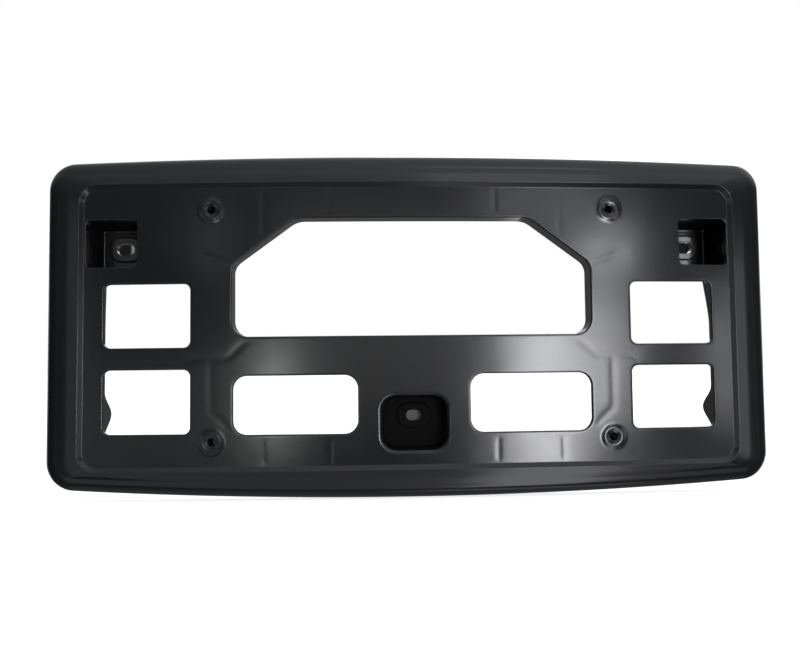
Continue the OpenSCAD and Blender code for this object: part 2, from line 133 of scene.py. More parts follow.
# Plate screws
SCREW_X = 105.0
SCREW_Z = 60.3
SCREW_D = 4.0
SCREW_HOLE_D = 13.5
BOSS_D = 9.0
BOSS_END_T = 1.5
COLLAR_D = 9.6
COLLAR_FOOT_D = 13.4
COLLAR_H = 0.5
DISH_D = 8.4
DISH_H = 0.6
# Roundings of the collar's foot and crest, of the edge between dish and hole and of the hole's end
COLLAR_FOOT_ROUND = 10.0
COLLAR_CREST_ROUND = 4.0
DISH_ROUND = 0.5
HOLE_ROUND = 0.3
# How much deeper the hole is in its middle
HOLE_TIP_D = 0.5
BOSS_TAPER = 0.25
BOSS_ROUND = 0.6

# Windows
TOP_BAR = 17.3
MIDDLE_BAR = 20.3
UPRIGHT_BAR = 21.7
CUT_W = 33.3
CUT_H = 24.2
TOP_ROUND = 12.0
SIDE_ROUND = 8.0
LOW_ROUND = 8.5
WINDOW_WALL_D = 12.0
SIDE_BAR = 11.8
SIDE_W = 45.2
SIDE_H = 33.2
SIDE_GAP = 11.5
SIDE_BOTTOM_BAR = 18.0
SIDE_WINDOW_R = 3.5
BOTTOM_BAR = 17.4
LOWER_W = 64.4
LOWER_H = 30.3
LOWER_INSET = 0.6
LOWER_R = 7.0

# Pockets
POCKET_W = 26.8
POCKET_H = 24.8
POCKET_INSET = 2.2
POCKET_R = 2.4
POCKET_LIP = 0.5
POCKET_D = 26.5
DRAFT = 0.9
BOLT_SLOT = (9.6, 6.6)
BOLT_PAD = (18.0, 14.0)
BOLT_RISE = 0.8
CENTRE_W = 33.8
CENTRE_H = 27.8
CENTRE_BOTTOM_BAR = 8.7
CENTRE_R = 7.5
CENTRE_LIP = 2.0
CENTRE_D = 12.0
CENTRE_SLOT = (8.0, 5.6)
CENTRE_PAD = (18.0, 13.2)
CENTRE_RISE = 3.4
FLOOR_T = 3.0
PAD_T = 1.4
PAD_TAPER = 0.25
# Roundings of the floor's edge, of the pad's foot and top, of the slot and of the cup's back
FLOOR_ROUND = 0.9
PAD_FOOT_ROUND = 0.4
PAD_TOP_ROUND = 0.5
SLOT_ROUND = 0.35
CUP_ROUND = 0.6
# How far the radius of a pad's or slot's round end stays under half its height
ROUND_END_GAP = 0.01

# Ribs
RIB_T = 1.8
RIB_D = 9.0
RIB_ROUND = 0.4
INNER_RIB_X = 43.5
OUTER_RIB_X = 78.0
CONTACT_D = 4.0
HUMP_D = 15.0
HUMP_Z = 28.0
HUMP_HALF_L = 12.0
RAMP_FOOT = 11.0
RAMP_D = {RIGHT: 10.0, LEFT: 2.0}
RAMP_POWER = 1.3
KNEE_RISE = 12.0
CORNER_RIB_W = 13.0
CORNER_RIB_RISE = 4.4
# Points along the edge of a contact rib
CONTACT_POINTS = 80
# Depth inside the face at which the ribs start
SINK = 1.2

# Sink marks in the face opposite the ribs, narrower at the upright ribs at top and bottom
SINK_MARK_D = 0.06
SINK_MARK_W = 2.0
END_MARK_W = 1.3
# Rows of extra points across half of a sink mark
SINK_MARK_ROWS = (0, 0.8, 1.6, 2.4, 3.3, 4.4)
# Distance from the outlines over which the marks fade out, so that the sheet meets them exactly
LIFT_FADE = 2.5

# Fineness of the skin
STEP = 4.0
ARC_STEPS = 10
SHEET_STEP = 5.0
FINE_STEP = 2.5
# A sheet's grid, in steps: the height of a row, and how far its points keep from the extra points
# and from the outlines
ROW_STEPS = 0.866
EXTRA_STEPS = 0.7
OUTLINE_STEPS = 0.45
# How far points keep from the outlines in a sheet with extra points
EXTRA_CLEAR = 0.6
# Points closer than WELD are joined. Pieces that would just touch are kept TUCK apart
WELD = 0.002
TUCK = WELD * 5
# How much straight rows of points are curved before they are triangulated
BOW = 0.0002
# Cosine under which two edges count as one straight line
STRAIGHT = -0.9999

# Soft edge of the painted shade in the rougher pockets: its width, how far it lies outside the mouth,
# the depths where the painted shade starts, and how far before an upper pocket's floor it ends
DULL_SHADE_EDGE = 1.5
DULL_SHADE_MARGIN = 1
DULL_SHADE_START = (1.0, 5.0)
DULL_SHADE_END = (3.0, 2.3)

# Studio: distance of the lights and of the floor below the holder in metres, and the gap behind
# the bolt slots in millimetres
STUDIO_R = 3.0
FLOOR_GAP = 0.0002
FLOOR_REACH = 30.0
BACKING_GAP = 0.15

# Places worked out from the sizes
RECESS_HALF_W = HALF_W - RIM_SIDE_W
RECESS_TOP = TOP - RIM_END_W
RECESS_BOTTOM = BOTTOM + RIM_END_W
SIDE_OUT_X = RECESS_HALF_W - SIDE_BAR
SIDE_IN_X = SIDE_OUT_X - SIDE_W
LOW_SIDE_Z = RECESS_BOTTOM + SIDE_BOTTOM_BAR
HIGH_SIDE_Z = LOW_SIDE_Z + SIDE_H + SIDE_GAP
BIG_HALF_W = SIDE_IN_X - UPRIGHT_BAR
LOWER_OUT_X = BIG_HALF_W - LOWER_INSET
LOWER_IN_X = LOWER_OUT_X - LOWER_W
LOWER_Z = RECESS_BOTTOM + BOTTOM_BAR
BIG_BOTTOM = LOWER_Z + LOWER_H + MIDDLE_BAR
BIG_TOP = RECESS_TOP - TOP_BAR
POCKET_X = RECESS_HALF_W - POCKET_INSET - POCKET_W / 2
POCKET_Z = BIG_TOP - POCKET_H / 2
CENTRE_Z = RECESS_BOTTOM + CENTRE_BOTTOM_BAR + CENTRE_H / 2
BEND_AXIS_Y = sqrt(BEND_R**2 - SCREW_X**2)
GAP_Z = LOW_SIDE_Z + SIDE_H + SIDE_GAP / 2
BAR_X = BIG_HALF_W + UPRIGHT_BAR / 2


def bend(x):
    """How far the bent face lies behind the origin at X: an arc of BEND_R about an upright axis."""
    return BEND_AXIS_Y - np.sqrt(BEND_R**2 - x * x)


def on_face(p, depth):
    """Points [x, z] at a depth behind the bent face."""
    return np.stack([p[..., 0], bend(p[..., 0]) + depth, p[..., 1]], -1)


def unit(v):
    """Vectors of length 1."""
    return v / np.linalg.norm(v, axis=-1, keepdims=True)


def rounded_loop(corners, splits=None, arc_steps=ARC_STEPS):
    """Outline of a polygon [x, z, radius] with rounded corners, anticlockwise seen from the front.

    Each corner is an arc about the point that lies its radius inside both of its edges, and the
    straight stretches between the arcs are split evenly. Returns points and outward normals."""
    c = np.array(corners, float)
    place, r = c[:, :2], c[:, 2:]
    along = unit(np.roll(place, -1, 0) - place)
    after = np.stack([along[:, 1], -along[:, 0]], 1)
    before = np.roll(after, 1, 0)
    cosine = (before * after).sum(1, keepdims=True)
    centre = place - (before + after) * r / (1 + cosine)
    start = np.arctan2(before[:, 1:], before[:, :1])
    angle = start + np.arccos(np.clip(cosine, -1, 1)) * np.linspace(0, 1, arc_steps + 1)
    normals = np.stack([np.cos(angle), np.sin(angle)], -1)
    points = centre[:, None] + r[:, None] * normals
    p, n = [], []
    for i in range(len(c)):
        a, b = points[i, -1], points[(i + 1) % len(c), 0]
        m = splits[i] if splits else max(1, ceil(hypot(*(b - a)) / STEP))
        part = np.arange(1, m)[:, None] / m
        p += [points[i], a + (b - a) * part]
        n += [normals[i], np.repeat(after[i : i + 1], m - 1, 0)]
    return np.vstack(p), np.vstack(n)


def rectangle(x0, x1, z0, z1, r):
    """Corners of an upright rectangle with one radius."""
    return [(x0, z0, r), (x1, z0, r), (x1, z1, r), (x0, z1, r)]


def centred(x, z, w, h, r):
    """Corners of a rectangle about its middle."""
    return rectangle(x - w / 2, x + w / 2, z - h / 2, z + h / 2, r)


def circle_loop(x, z, r, n=40):
    """Circle about [x, z], anticlockwise seen from the front, as points and outward normals."""
    a = np.arange(n) * 2 * pi / n
    normals = np.stack([np.cos(a), np.sin(a)], 1)
    return np.array([x, z]) + r * normals, normals


def filleted(path, steps=5):
    """Open path of [growth, depth, radius] with each inner corner rounded by an arc of its radius.

    The arc starts and ends at radius * tan(half the turn) from the corner."""
    path = np.array(path, float)
    out = [path[0, :2]]
    for before, corner, after in zip(path[:-2], path[1:-1], path[2:]):
        a, b = unit(before[:2] - corner[:2]), unit(after[:2] - corner[:2])
        if corner[2] == 0 or a @ b < STRAIGHT:
            out.append(corner[:2])
            continue
        half_angle = np.arccos(np.clip(a @ b, -1, 1)) / 2
        centre = corner[:2] + unit(a + b) * corner[2] / np.sin(half_angle)
        reach = corner[2] / np.tan(half_angle)
        first, last = corner[:2] + a * reach - centre, corner[:2] + b * reach - centre
        turn = pi - 2 * half_angle
        k = np.linspace(0, 1, steps + 1)[:, None]
        arc = (np.sin((1 - k) * turn) * first + np.sin(k * turn) * last) / np.sin(turn)
        out += list(centre + arc)
    out.append(path[-1, :2])
    return np.array(out)


def quarter(across, deep, steps=8):
    """Quarter of an ellipse as [growth, depth], from the rim's flat to its skirt."""
    a = np.linspace(0, pi / 2, steps + 1)
    return np.stack([-across * (1 - np.sin(a)), deep * (1 - np.cos(a))], 1)


def inside(p, loop):
    """Which points lie inside a closed loop, by counting the edges that pass on their right."""
    a, b = loop, np.roll(loop, -1, 0)
    x, z = p[:, :1], p[:, 1:]
    spans = (a[:, 1] > z) != (b[:, 1] > z)
    rise = np.where(b[:, 1] == a[:, 1], 1.0, b[:, 1] - a[:, 1])
    crossing = a[:, 0] + (z - a[:, 1]) * (b[:, 0] - a[:, 0]) / rise
    return (spans & (x < crossing)).sum(1) % 2 == 1


def triangles(loops, between):
    """Delaunay triangles inside the first loop and outside the others, through all their points and
    those in between, anticlockwise. Points [u, v] are first moved to [u + BOW v^2, v + BOW u^2], so
    that straight rows of them curve a little and no triangle is as flat as a line."""
    loops = [loop + BOW * loop[:, ::-1] ** 2 for loop in loops]
    points = np.vstack([*loops, between + BOW * between[:, ::-1] ** 2])
    edges, start = [], 0
    for loop in loops:
        n = len(loop)
        edges += [(start + j, start + (j + 1) % n) for j in range(n)]
        start += n
    found = delaunay_2d_cdt([Vector(q) for q in points.tolist()], edges, [], 0, 1e-7)
    tri = np.array([o[0] for o in found[3]])[np.array(found[2])]
    middle = points[tri].mean(1)
    keep = inside(middle, loops[0])
    for hole in loops[1:]:
        keep &= ~inside(middle, hole)
    tri = tri[keep]
    u, v = points[tri[:, 1]] - points[tri[:, 0]], points[tri[:, 2]] - points[tri[:, 0]]
    turned = u[:, 0] * v[:, 1] - u[:, 1] * v[:, 0] < 0
    tri[turned] = tri[turned][:, ::-1]
    return tri


def distance_to(p, a, b):
    """Distance from points to the segment from a to b."""
    ab = b - a
    t = np.clip(((p - a) @ ab) / (ab @ ab), 0, 1)
    return np.linalg.norm(p - a - t[:, None] * ab, axis=1)


class Skin:
    """The moulding's points and triangles, gathered piece by piece in millimetres."""

    def __init__(self):
        self.points, self.faces, self.count = [], [], 0

    def add(self, points, faces):
        """Takes a piece whose faces already point outwards."""
        self.points.append(points.reshape(-1, 3))
        self.faces.append(faces + self.count)
        self.count += len(self.points[-1])

    def strips(self, rings):
        """Quads between closed rings of points, split in two. Rings run anticlockwise seen from the
        front and go from the front surface through an opening to the back."""
        rows, n = rings.shape[:2]
        k, i = np.meshgrid(np.arange(rows - 1), np.arange(n), indexing="ij")
        a, b = k * n + i, k * n + (i + 1) % n
        c, d = b + n, a + n
        faces = np.concatenate([np.stack([a, b, c], -1), np.stack([a, c, d], -1)]).reshape(-1, 3)
        self.add(rings, faces)

    def carry(self, loop, profile, place=on_face):
        """A profile of [growth, depth] carried round an outline: every ring is the outline moved out
        along its normals by the growth, at the profile's depth."""
        p, n = loop
        self.strips(np.stack([place(p + g * n, d) for g, d in profile]))

    def sheet(self, outer, holes, depth, facing, place=on_face, step=SHEET_STEP, extra=None, lift=None):
        """Sheet between an outer outline and its holes: a Delaunay triangulation of the outlines' points
        and a hexagonal grid. facing is UP for the front and DOWN for the back surface. lift gives how
        far the sheet sinks at a point, and it fades out over LIFT_FADE towards the outlines."""
        loops = [outer, *holes]
        box_low, box_high = outer.min(0), outer.max(0)
        i, k = np.meshgrid(np.arange(ceil((box_high[0] - box_low[0]) / step) + 1),
                           np.arange(ceil((box_high[1] - box_low[1]) / (step * ROW_STEPS)) + 1))
        grid = np.stack([box_low[0] + (i + 0.5 * (k % 2)) * step, box_low[1] + k * step * ROW_STEPS], -1)
        grid = grid.reshape(-1, 2)
        if extra is not None:
            gap = np.min([np.linalg.norm(grid - e, axis=1) for e in extra[::3]], axis=0)
            grid = np.vstack([grid[gap > step * EXTRA_STEPS], extra])
        keep = inside(grid, outer)
        for hole in holes:
            keep &= ~inside(grid, hole)
        grid = grid[keep]
        edge_points = np.vstack(loops)
        along = np.vstack([loop + (np.roll(loop, -1, 0) - loop) * k / 4 for loop in loops for k in range(4)])
        near = np.full(len(grid), np.inf)
        for e in np.array_split(along, ceil(len(along) / 200)):
            near = np.minimum(near, np.linalg.norm(grid[:, None] - e, axis=2).min(1))
        clear = near > (EXTRA_CLEAR if extra is not None else step * OUTLINE_STEPS)
        grid, near = grid[clear], near[clear]
        points = np.vstack([edge_points, grid])
        sunk = np.zeros(len(points))
        if lift is not None:
            sunk[len(edge_points):] = lift(grid) * np.clip(near / LIFT_FADE, 0, 1)
        self.add(place(points, depth + sunk), triangles(loops, grid)[:, ::facing])

    def bar(self, outline, origin, direction, thickness, edge=RIB_ROUND, steps=3):
        """Flat bar: an outline of [run, depth] held upright along a line on the face, with rounded edges.

        Each ring is the outline drawn in by edge * (1 - sin), at edge * (1 - cos) from the bar's side."""
        outline = np.array(outline, float)
        if np.cross(outline, np.roll(outline, -1, 0)).sum() < 0:
            outline = outline[::-1]
        along = unit(np.roll(outline, -1, 0) - outline)
        after = np.stack([along[:, 1], -along[:, 0]], 1)
        before = np.roll(after, 1, 0)
        mitre = (before + after) / (1 + (before * after).sum(1, keepdims=True))
        a = np.linspace(0, pi / 2, steps + 1)
        draw = edge * (1 - np.sin(a))
        out = thickness / 2 - edge * (1 - np.cos(a))[::-1]
        draw = np.concatenate([draw, draw[::-1]])
        sides = np.concatenate([-out[::-1], out])
        origin, direction = np.array(origin, float), np.array(direction, float)
        normal = np.array([direction[1], -direction[0]])

        def place(p, side):
            q = origin + p[..., :1] * direction + side * normal
            return np.stack([q[..., 0], bend(q[..., 0]) + p[..., 1], q[..., 1]], -1)

        piece = Skin()
        piece.strips(np.stack([place(outline - d * mitre, s) for d, s in zip(draw, sides)]))
        cap = outline - draw[0] * mitre
        tri = triangles([cap], cap[:0])
        piece.add(place(cap, sides[0]), tri[:, ::-1])
        piece.add(place(cap, sides[-1]), tri)
        points, faces = np.vstack(piece.points), np.vstack(piece.faces)
        corners = points[faces]
        volume = np.einsum("ij,ij->i", corners[:, 0], np.cross(corners[:, 1], corners[:, 2])).sum()
        self.add(points, faces if volume > 0 else faces[:, ::-1])


# Outlines of the openings, each as points and normals
BIG_WINDOW = rounded_loop([
    (-BIG_HALF_W, BIG_BOTTOM, LOW_ROUND), (BIG_HALF_W, BIG_BOTTOM, LOW_ROUND),
    (BIG_HALF_W, BIG_TOP - CUT_H, SIDE_ROUND), (BIG_HALF_W - CUT_W, BIG_TOP, TOP_ROUND),
    (-BIG_HALF_W + CUT_W, BIG_TOP, TOP_ROUND), (-BIG_HALF_W, BIG_TOP - CUT_H, SIDE_ROUND)])


def across(side, x0, x1, z0, z1, r):
    """Rectangle on one side of the middle, given by its distances from the middle."""
    return rectangle(min(side * x0, side * x1), max(side * x0, side * x1), z0, z1, r)


PLAIN_WINDOWS = [rounded_loop(across(side, *size)) for side in (LEFT, RIGHT) for size in (
    (LOWER_IN_X, LOWER_OUT_X, LOWER_Z, LOWER_Z + LOWER_H, LOWER_R),
    (SIDE_IN_X, SIDE_OUT_X, LOW_SIDE_Z, LOW_SIDE_Z + SIDE_H, SIDE_WINDOW_R),
    (SIDE_IN_X, SIDE_OUT_X, HIGH_SIDE_Z, HIGH_SIDE_Z + SIDE_H, SIDE_WINDOW_R))]

SCREWS = [(sx * SCREW_X, sz * SCREW_Z) for sx in (LEFT, RIGHT) for sz in (DOWN, UP)]


def grown(loop, growth):
    """An outline moved out along its normals."""
    return loop[0] + growth * loop[1]


def rib_lines():
    """Centre lines of the ribs behind the face, from [x, z] to [x, z]."""
    lines = []
    slope = CUT_H / CUT_W
    for side in (LEFT, RIGHT):
        for x in (INNER_RIB_X, OUTER_RIB_X):
            top = BIG_TOP - max(0, x - BIG_HALF_W + CUT_W) * slope
            lines.append(((side * x, top), (side * x, RECESS_TOP)))
            lines.append(((side * x, LOWER_Z), (side * x, RECESS_BOTTOM)))
        route = [(side * (BIG_HALF_W - LOW_ROUND), BIG_BOTTOM - WALL_T / 2),
                 (side * (BIG_HALF_W + WALL_T), GAP_Z),
                 (side * BAR_X, GAP_Z),
                 (side * BAR_X, LOWER_Z + KNEE_RISE),
                 (side * (LOWER_OUT_X + WALL_T), LOWER_Z + LOWER_R / 2)]
        lines += list(zip(route[:-1], route[1:]))
        lines.append(((side * BAR_X, GAP_Z), (side * SIDE_IN_X, GAP_Z)))
        corner = (side * BIG_HALF_W, BIG_TOP - CUT_H)
        lines.append((corner, (corner[0] + side * CORNER_RIB_W, corner[1] + CORNER_RIB_RISE)))
    return [(np.array(a), np.array(b)) for a, b in lines]


def is_end_rib(a):
    """Whether a rib's line, which starts at a, is one of the upright ones at the top and bottom."""
    return abs(a[0]) in (INNER_RIB_X, OUTER_RIB_X)


def sink_marks(p):
    """Depth of the sink marks opposite the ribs: a bell curve across each rib's line."""
    depth = np.zeros(len(p))
    for a, b in rib_lines():
        width = END_MARK_W if is_end_rib(a) else SINK_MARK_W
        depth = np.maximum(depth, SINK_MARK_D * np.exp(-((distance_to(p, a, b) / width) ** 2)))
    return depth


def sink_mark_points():
    """Extra points of the front sheet, in rows along each sink mark."""
    rows = []
    for a, b in rib_lines():
        e = unit(b - a)
        n = np.array([e[1], -e[0]])
        run = np.linspace(0, 1, ceil(hypot(*(b - a)) / 2) + 1)[:, None, None]
        half = np.array(SINK_MARK_ROWS)
        side = np.concatenate([-half[:0:-1], half])[None, :, None]
        rows.append((a + (b - a) * run + n * side).reshape(-1, 2))
    return np.vstack(rows)


def rim(skin):
    """Rim, shoulder and skirt: one closed profile carried round the frame between the recess and the
    outline. A point's place across the frame is measured from the recess's edge near it, and from
    the arched outline near that, with an even change between the two. The flat eases into the
    shoulder by EASE_D * u^2 * (3 - 2u), from EASE_W before the shoulder to the shoulder's middle."""
    recess, normals = rounded_loop(
        rectangle(-RECESS_HALF_W, RECESS_HALF_W, RECESS_BOTTOM, RECESS_TOP, RECESS_R), RIM_SPLITS)
    outline, _ = rounded_loop(rectangle(-HALF_W, HALF_W, BOTTOM, TOP, CORNER_R), RIM_SPLITS)
    share = np.clip((outline[:, 1] - BOTTOM - CORNER_R) / (TOP - BOTTOM - 2 * CORNER_R), 0, 1)
    arch = (outline[:, 0] / HALF_W) ** 2 * (TOP_ARCH * share - BOTTOM_ARCH * (1 - share))
    outline = outline - np.stack([0 * arch, arch], 1)

    half = SLOPE_W / 2
    fall = RIM_FALL - RIM_RISE
    turn = RIM_SIDE_W - SHOULDER_W - SKIRT_FLARE
    before = np.linspace(turn - EASE_W, turn, EASE_STEPS + 1)[:-1]
    level = RIM_FALL * (before - half) / (turn - half) - RIM_RISE
    shoulder = quarter(SHOULDER_W, SHOULDER_D, 12) + [RIM_SIDE_W - SKIRT_FLARE, fall]
    outer = np.vstack([np.stack([before, level], 1), shoulder])
    u = np.clip((outer[:, 0] - turn + EASE_W) / (EASE_W + SHOULDER_W / 2), 0, 1)
    outer[:, 1] += EASE_D * u**2 * (3 - 2 * u)
    inner = quarter(SHOULDER_W - RIM_T, SHOULDER_D - RIM_T) + [RIM_SIDE_W - SKIRT_FLARE - RIM_T, fall + RIM_T]
    flat = lambda rows: [(t, d, 0) for t, d in rows]
    profile = filleted(
        [(-half - RIM_SEAM, FACE_T, 0), (-half, FACE_T, SLOPE_RECESS_ROUND),
         (half, RIM_T - RIM_RISE, SLOPE_RIM_ROUND)]
        + flat(inner)
        + [(RIM_SIDE_W - RIM_T, SKIRT_D, BACK_ROUND), (RIM_SIDE_W, SKIRT_D, BACK_ROUND)]
        + flat(outer[::-1])
        + [(half, -RIM_RISE, SLOPE_ROUND), (-half, 0, SLOPE_ROUND), (-half - RIM_SEAM, 0, 0)])
    mix = np.clip((profile[:, 0] - half) / (turn - half), 0, 1)[:, None, None]
    t = profile[:, 0][:, None, None]
    place = (1 - mix) * (recess + t * normals) + mix * (outline + (t - RIM_SIDE_W) * normals)
    rings = np.stack([on_face(p, d) for p, d in zip(place, profile[:, 1])])
    skin.strips(rings)
    return place[0], place[-1]


def pocket_place(x, depth):
    """Places points like on_face near the face, and on flat levels near a pocket's floor."""
    def place(p, d):
        share = np.clip((d - FACE_T) / (depth - PAD_T - FACE_T), 0, 1)
        y = (1 - share) * bend(p[..., 0]) + share * bend(np.float64(x)) + d
        return np.stack([p[..., 0], y, p[..., 1]], -1)
    return place


def pocket(skin, x, z, w, h, r, depth, lip, pad_size, slot_size, rise):
    """Bolt pocket. Its mouth is an opening in the face, and behind it a closed cup with tapered walls,
    floor, raised pad and slot reaches up into the face. Returns the mouth's outlines in the front
    and in the back sheet."""
    place = pocket_place(x, depth)
    mouth = rounded_loop(centred(x, z, w, h, r))
    pad = rounded_loop(centred(x, z + rise, *pad_size, pad_size[1] / 2 - ROUND_END_GAP), arc_steps=12)
    slot = rounded_loop(centred(x, z + rise, *slot_size, slot_size[1] / 2 - ROUND_END_GAP), arc_steps=12)
    top = depth - PAD_T
    back = depth + FLOOR_T
    reach = DRAFT + FLOOR_SEAM
    drawn = DRAFT * FACE_T / depth
    skin.carry(mouth, filleted([(lip + LIP_SEAM, 0, 0), (0, 0, lip), (-drawn, FACE_T, 0),
                                (MOUTH_SEAM, FACE_T, 0)]), place)
    skin.carry(mouth, filleted([(*CUP_ROOT[1], 0), (TUCK - drawn, FACE_T - 2 * TUCK, 0),
                                (-DRAFT, depth, FLOOR_ROUND), (-reach, depth, 0)]), place)
    skin.sheet(grown(mouth, -reach), [grown(pad, PAD_SEAM)], depth, UP, place, FINE_STEP)
    skin.carry(pad, filleted([(PAD_SEAM, depth, 0), (0, depth, PAD_FOOT_ROUND),
                              (-PAD_TAPER, top, PAD_TOP_ROUND), (-PAD_TOP_SEAM, top, 0)]), place)
    skin.sheet(grown(pad, -PAD_TOP_SEAM), [grown(slot, SLOT_SEAM)], top, UP, place, FINE_STEP)
    skin.carry(slot, filleted([(SLOT_SEAM, top, 0), (0, top, SLOT_ROUND), (0, back, SLOT_ROUND),
                               (SLOT_SEAM, back, 0)]), place)
    shell = WALL_T - DRAFT
    skin.sheet(grown(mouth, shell - CUP_SEAM), [grown(slot, SLOT_SEAM)], back, DOWN, place, FINE_STEP)
    skin.carry(mouth, filleted([(shell - CUP_SEAM, back, 0), (shell, back, CUP_ROUND),
                                (WALL_T, FACE_T, FOOT_ROUND), (FOOT, CUP_FOOT_D, 0),
                                (*CUP_ROOT[0], 0), (*CUP_ROOT[1], 0)]), place)
    return grown(mouth, lip + LIP_SEAM), grown(mouth, MOUTH_SEAM)


def screw_place(skin, x, z):
    """Low screw collar that swells out of the face, with a shallow dish and a blind hole, and the
    closed boss behind them."""
    collar = circle_loop(x, z, COLLAR_D / 2)
    foot = (COLLAR_FOOT_D - COLLAR_D) / 2
    to_dish, to_hole = (DISH_D - COLLAR_D) / 2, (SCREW_D - COLLAR_D) / 2
    skin.carry(collar, filleted([
        (foot + 2 * SEAM, 0, 0), (foot, 0, COLLAR_FOOT_ROUND),
        (to_dish / 2, -COLLAR_H, COLLAR_CREST_ROUND), (to_hole, DISH_H - COLLAR_H, DISH_ROUND),
        (to_hole, SCREW_HOLE_D, HOLE_ROUND), (-COLLAR_D / 2, SCREW_HOLE_D + HOLE_TIP_D, 0)]))
    boss = circle_loop(x, z, BOSS_D / 2)
    end = SCREW_HOLE_D + BOSS_END_T
    skin.carry(boss, filleted([(-BOSS_D / 2, end, 0), (-BOSS_TAPER, end, BOSS_ROUND),
                               (0, FACE_T, FOOT_ROUND), (2 * SEAM, FACE_T, 0)]))
    return grown(collar, foot + 2 * SEAM), grown(boss, 2 * SEAM)


def ribs(skin):
    """Ribs behind the face, each a flat bar that reaches into the walls at its ends."""
    slope = CUT_H / CUT_W
    half = SLOPE_W / 2
    for side in (LEFT, RIGHT):
        for x in (INNER_RIB_X, OUTER_RIB_X):
            top = BIG_TOP - max(0, x - BIG_HALF_W + CUT_W) * slope + WALL_T / 2
            for up, start in ((UP, top), (DOWN, LOWER_Z - RIB_T)):
                arch = (x / HALF_W) ** 2 * (TOP_ARCH if up == UP else -BOTTOM_ARCH)
                edge = abs((TOP if up == UP else BOTTOM) - arch - start)
                step = abs((RECESS_TOP if up == UP else RECESS_BOTTOM) - start)
                arc = quarter(SHOULDER_W - RIM_T / 2, SHOULDER_D - RIM_T / 2, 5)
                arc = arc + [edge - SKIRT_FLARE - RIM_T / 2, RIM_FALL - RIM_RISE + RIM_T / 2]
                outline = [(0, RIB_D), (0, SINK), (step - half, SINK), (step + half, RIM_T / 2 - RIM_RISE),
                           *arc, (edge - SKIRT_FLARE - RIM_T / 2, RIB_D)]
                skin.bar(outline, (side * x, start), (0, up), RIB_T)
    for a, b in rib_lines():
        if is_end_rib(a):
            continue
        length, e = hypot(*(b - a)), unit(b - a)
        start, end = -RIB_T / 2, length + RIB_T / 2
        skin.bar([(start, SINK), (end, SINK), (end, RIB_D), (start, RIB_D)], a, e, RIB_T)


def contact_ribs(skin):
    """Contact ribs outside the side windows: low, with a squared cosine hump and a ramp up to the pocket."""
    z0, z1 = LOW_SIDE_Z - WALL_T, POCKET_Z - POCKET_H / 2 - WALL_T / 2
    z = np.linspace(z0, z1, CONTACT_POINTS)
    t = (z - RECESS_BOTTOM - HUMP_Z) / HUMP_HALF_L
    hump = np.where(np.abs(t) < 1, np.cos(pi / 2 * np.clip(t, -1, 1)) ** 2, 0)
    foot, head = HIGH_SIDE_Z + RAMP_FOOT, POCKET_Z - POCKET_H / 2
    climb = np.clip((z - foot) / (head - foot), 0, None) ** RAMP_POWER
    for side in (LEFT, RIGHT):
        depth = CONTACT_D + (HUMP_D - CONTACT_D) * hump + RAMP_D[side] * climb
        outline = [(z1 - z0, SINK), (0, SINK), *np.stack([z - z0, depth], 1)]
        x = SIDE_OUT_X + WALL_T / 2 - TUCK
        skin.bar(outline, (side * x, z0), (0, 1), WALL_T)


def moulding():
    """The whole skin: face, openings, rim, pockets, bosses and ribs."""
    skin = Skin()
    back_outer, front_outer = rim(skin)
    front_holes, back_holes = [], []
    near = FRONT_ROUND + SEAM
    skin.carry(BIG_WINDOW, filleted([
        (near, 0, 0), (0, 0, FRONT_ROUND), (0, WINDOW_WALL_D, BACK_ROUND),
        (WALL_T, WINDOW_WALL_D, BACK_ROUND), (WALL_T, FACE_T, FOOT_ROUND), (FOOT, FACE_T, 0)]))
    front_holes.append(grown(BIG_WINDOW, near))
    back_holes.append(grown(BIG_WINDOW, FOOT))
    for window in PLAIN_WINDOWS:
        skin.carry(window, filleted([(near, 0, 0), (0, 0, FRONT_ROUND),
                                     (0, FACE_T, BACK_ROUND), (near, FACE_T, 0)]))
        front_holes.append(grown(window, near))
        back_holes.append(grown(window, near))
    pockets = [(side * POCKET_X, POCKET_Z, POCKET_W, POCKET_H, POCKET_R, POCKET_D, POCKET_LIP,
                BOLT_PAD, BOLT_SLOT, BOLT_RISE) for side in (LEFT, RIGHT)]
    pockets.append((0.0, CENTRE_Z, CENTRE_W, CENTRE_H, CENTRE_R, CENTRE_D, CENTRE_LIP,
                    CENTRE_PAD, CENTRE_SLOT, CENTRE_RISE))
    for sizes in pockets:
        front, back = pocket(skin, *sizes)
        front_holes.append(front)
        back_holes.append(back)
    for x, z in SCREWS:
        front, back = screw_place(skin, x, z)
        front_holes.append(front)
        back_holes.append(back)
    skin.sheet(front_outer, front_holes, 0, UP, extra=sink_mark_points(), lift=sink_marks)
    skin.sheet(back_outer, back_holes, FACE_T, DOWN)
    ribs(skin)
    contact_ribs(skin)
    return skin


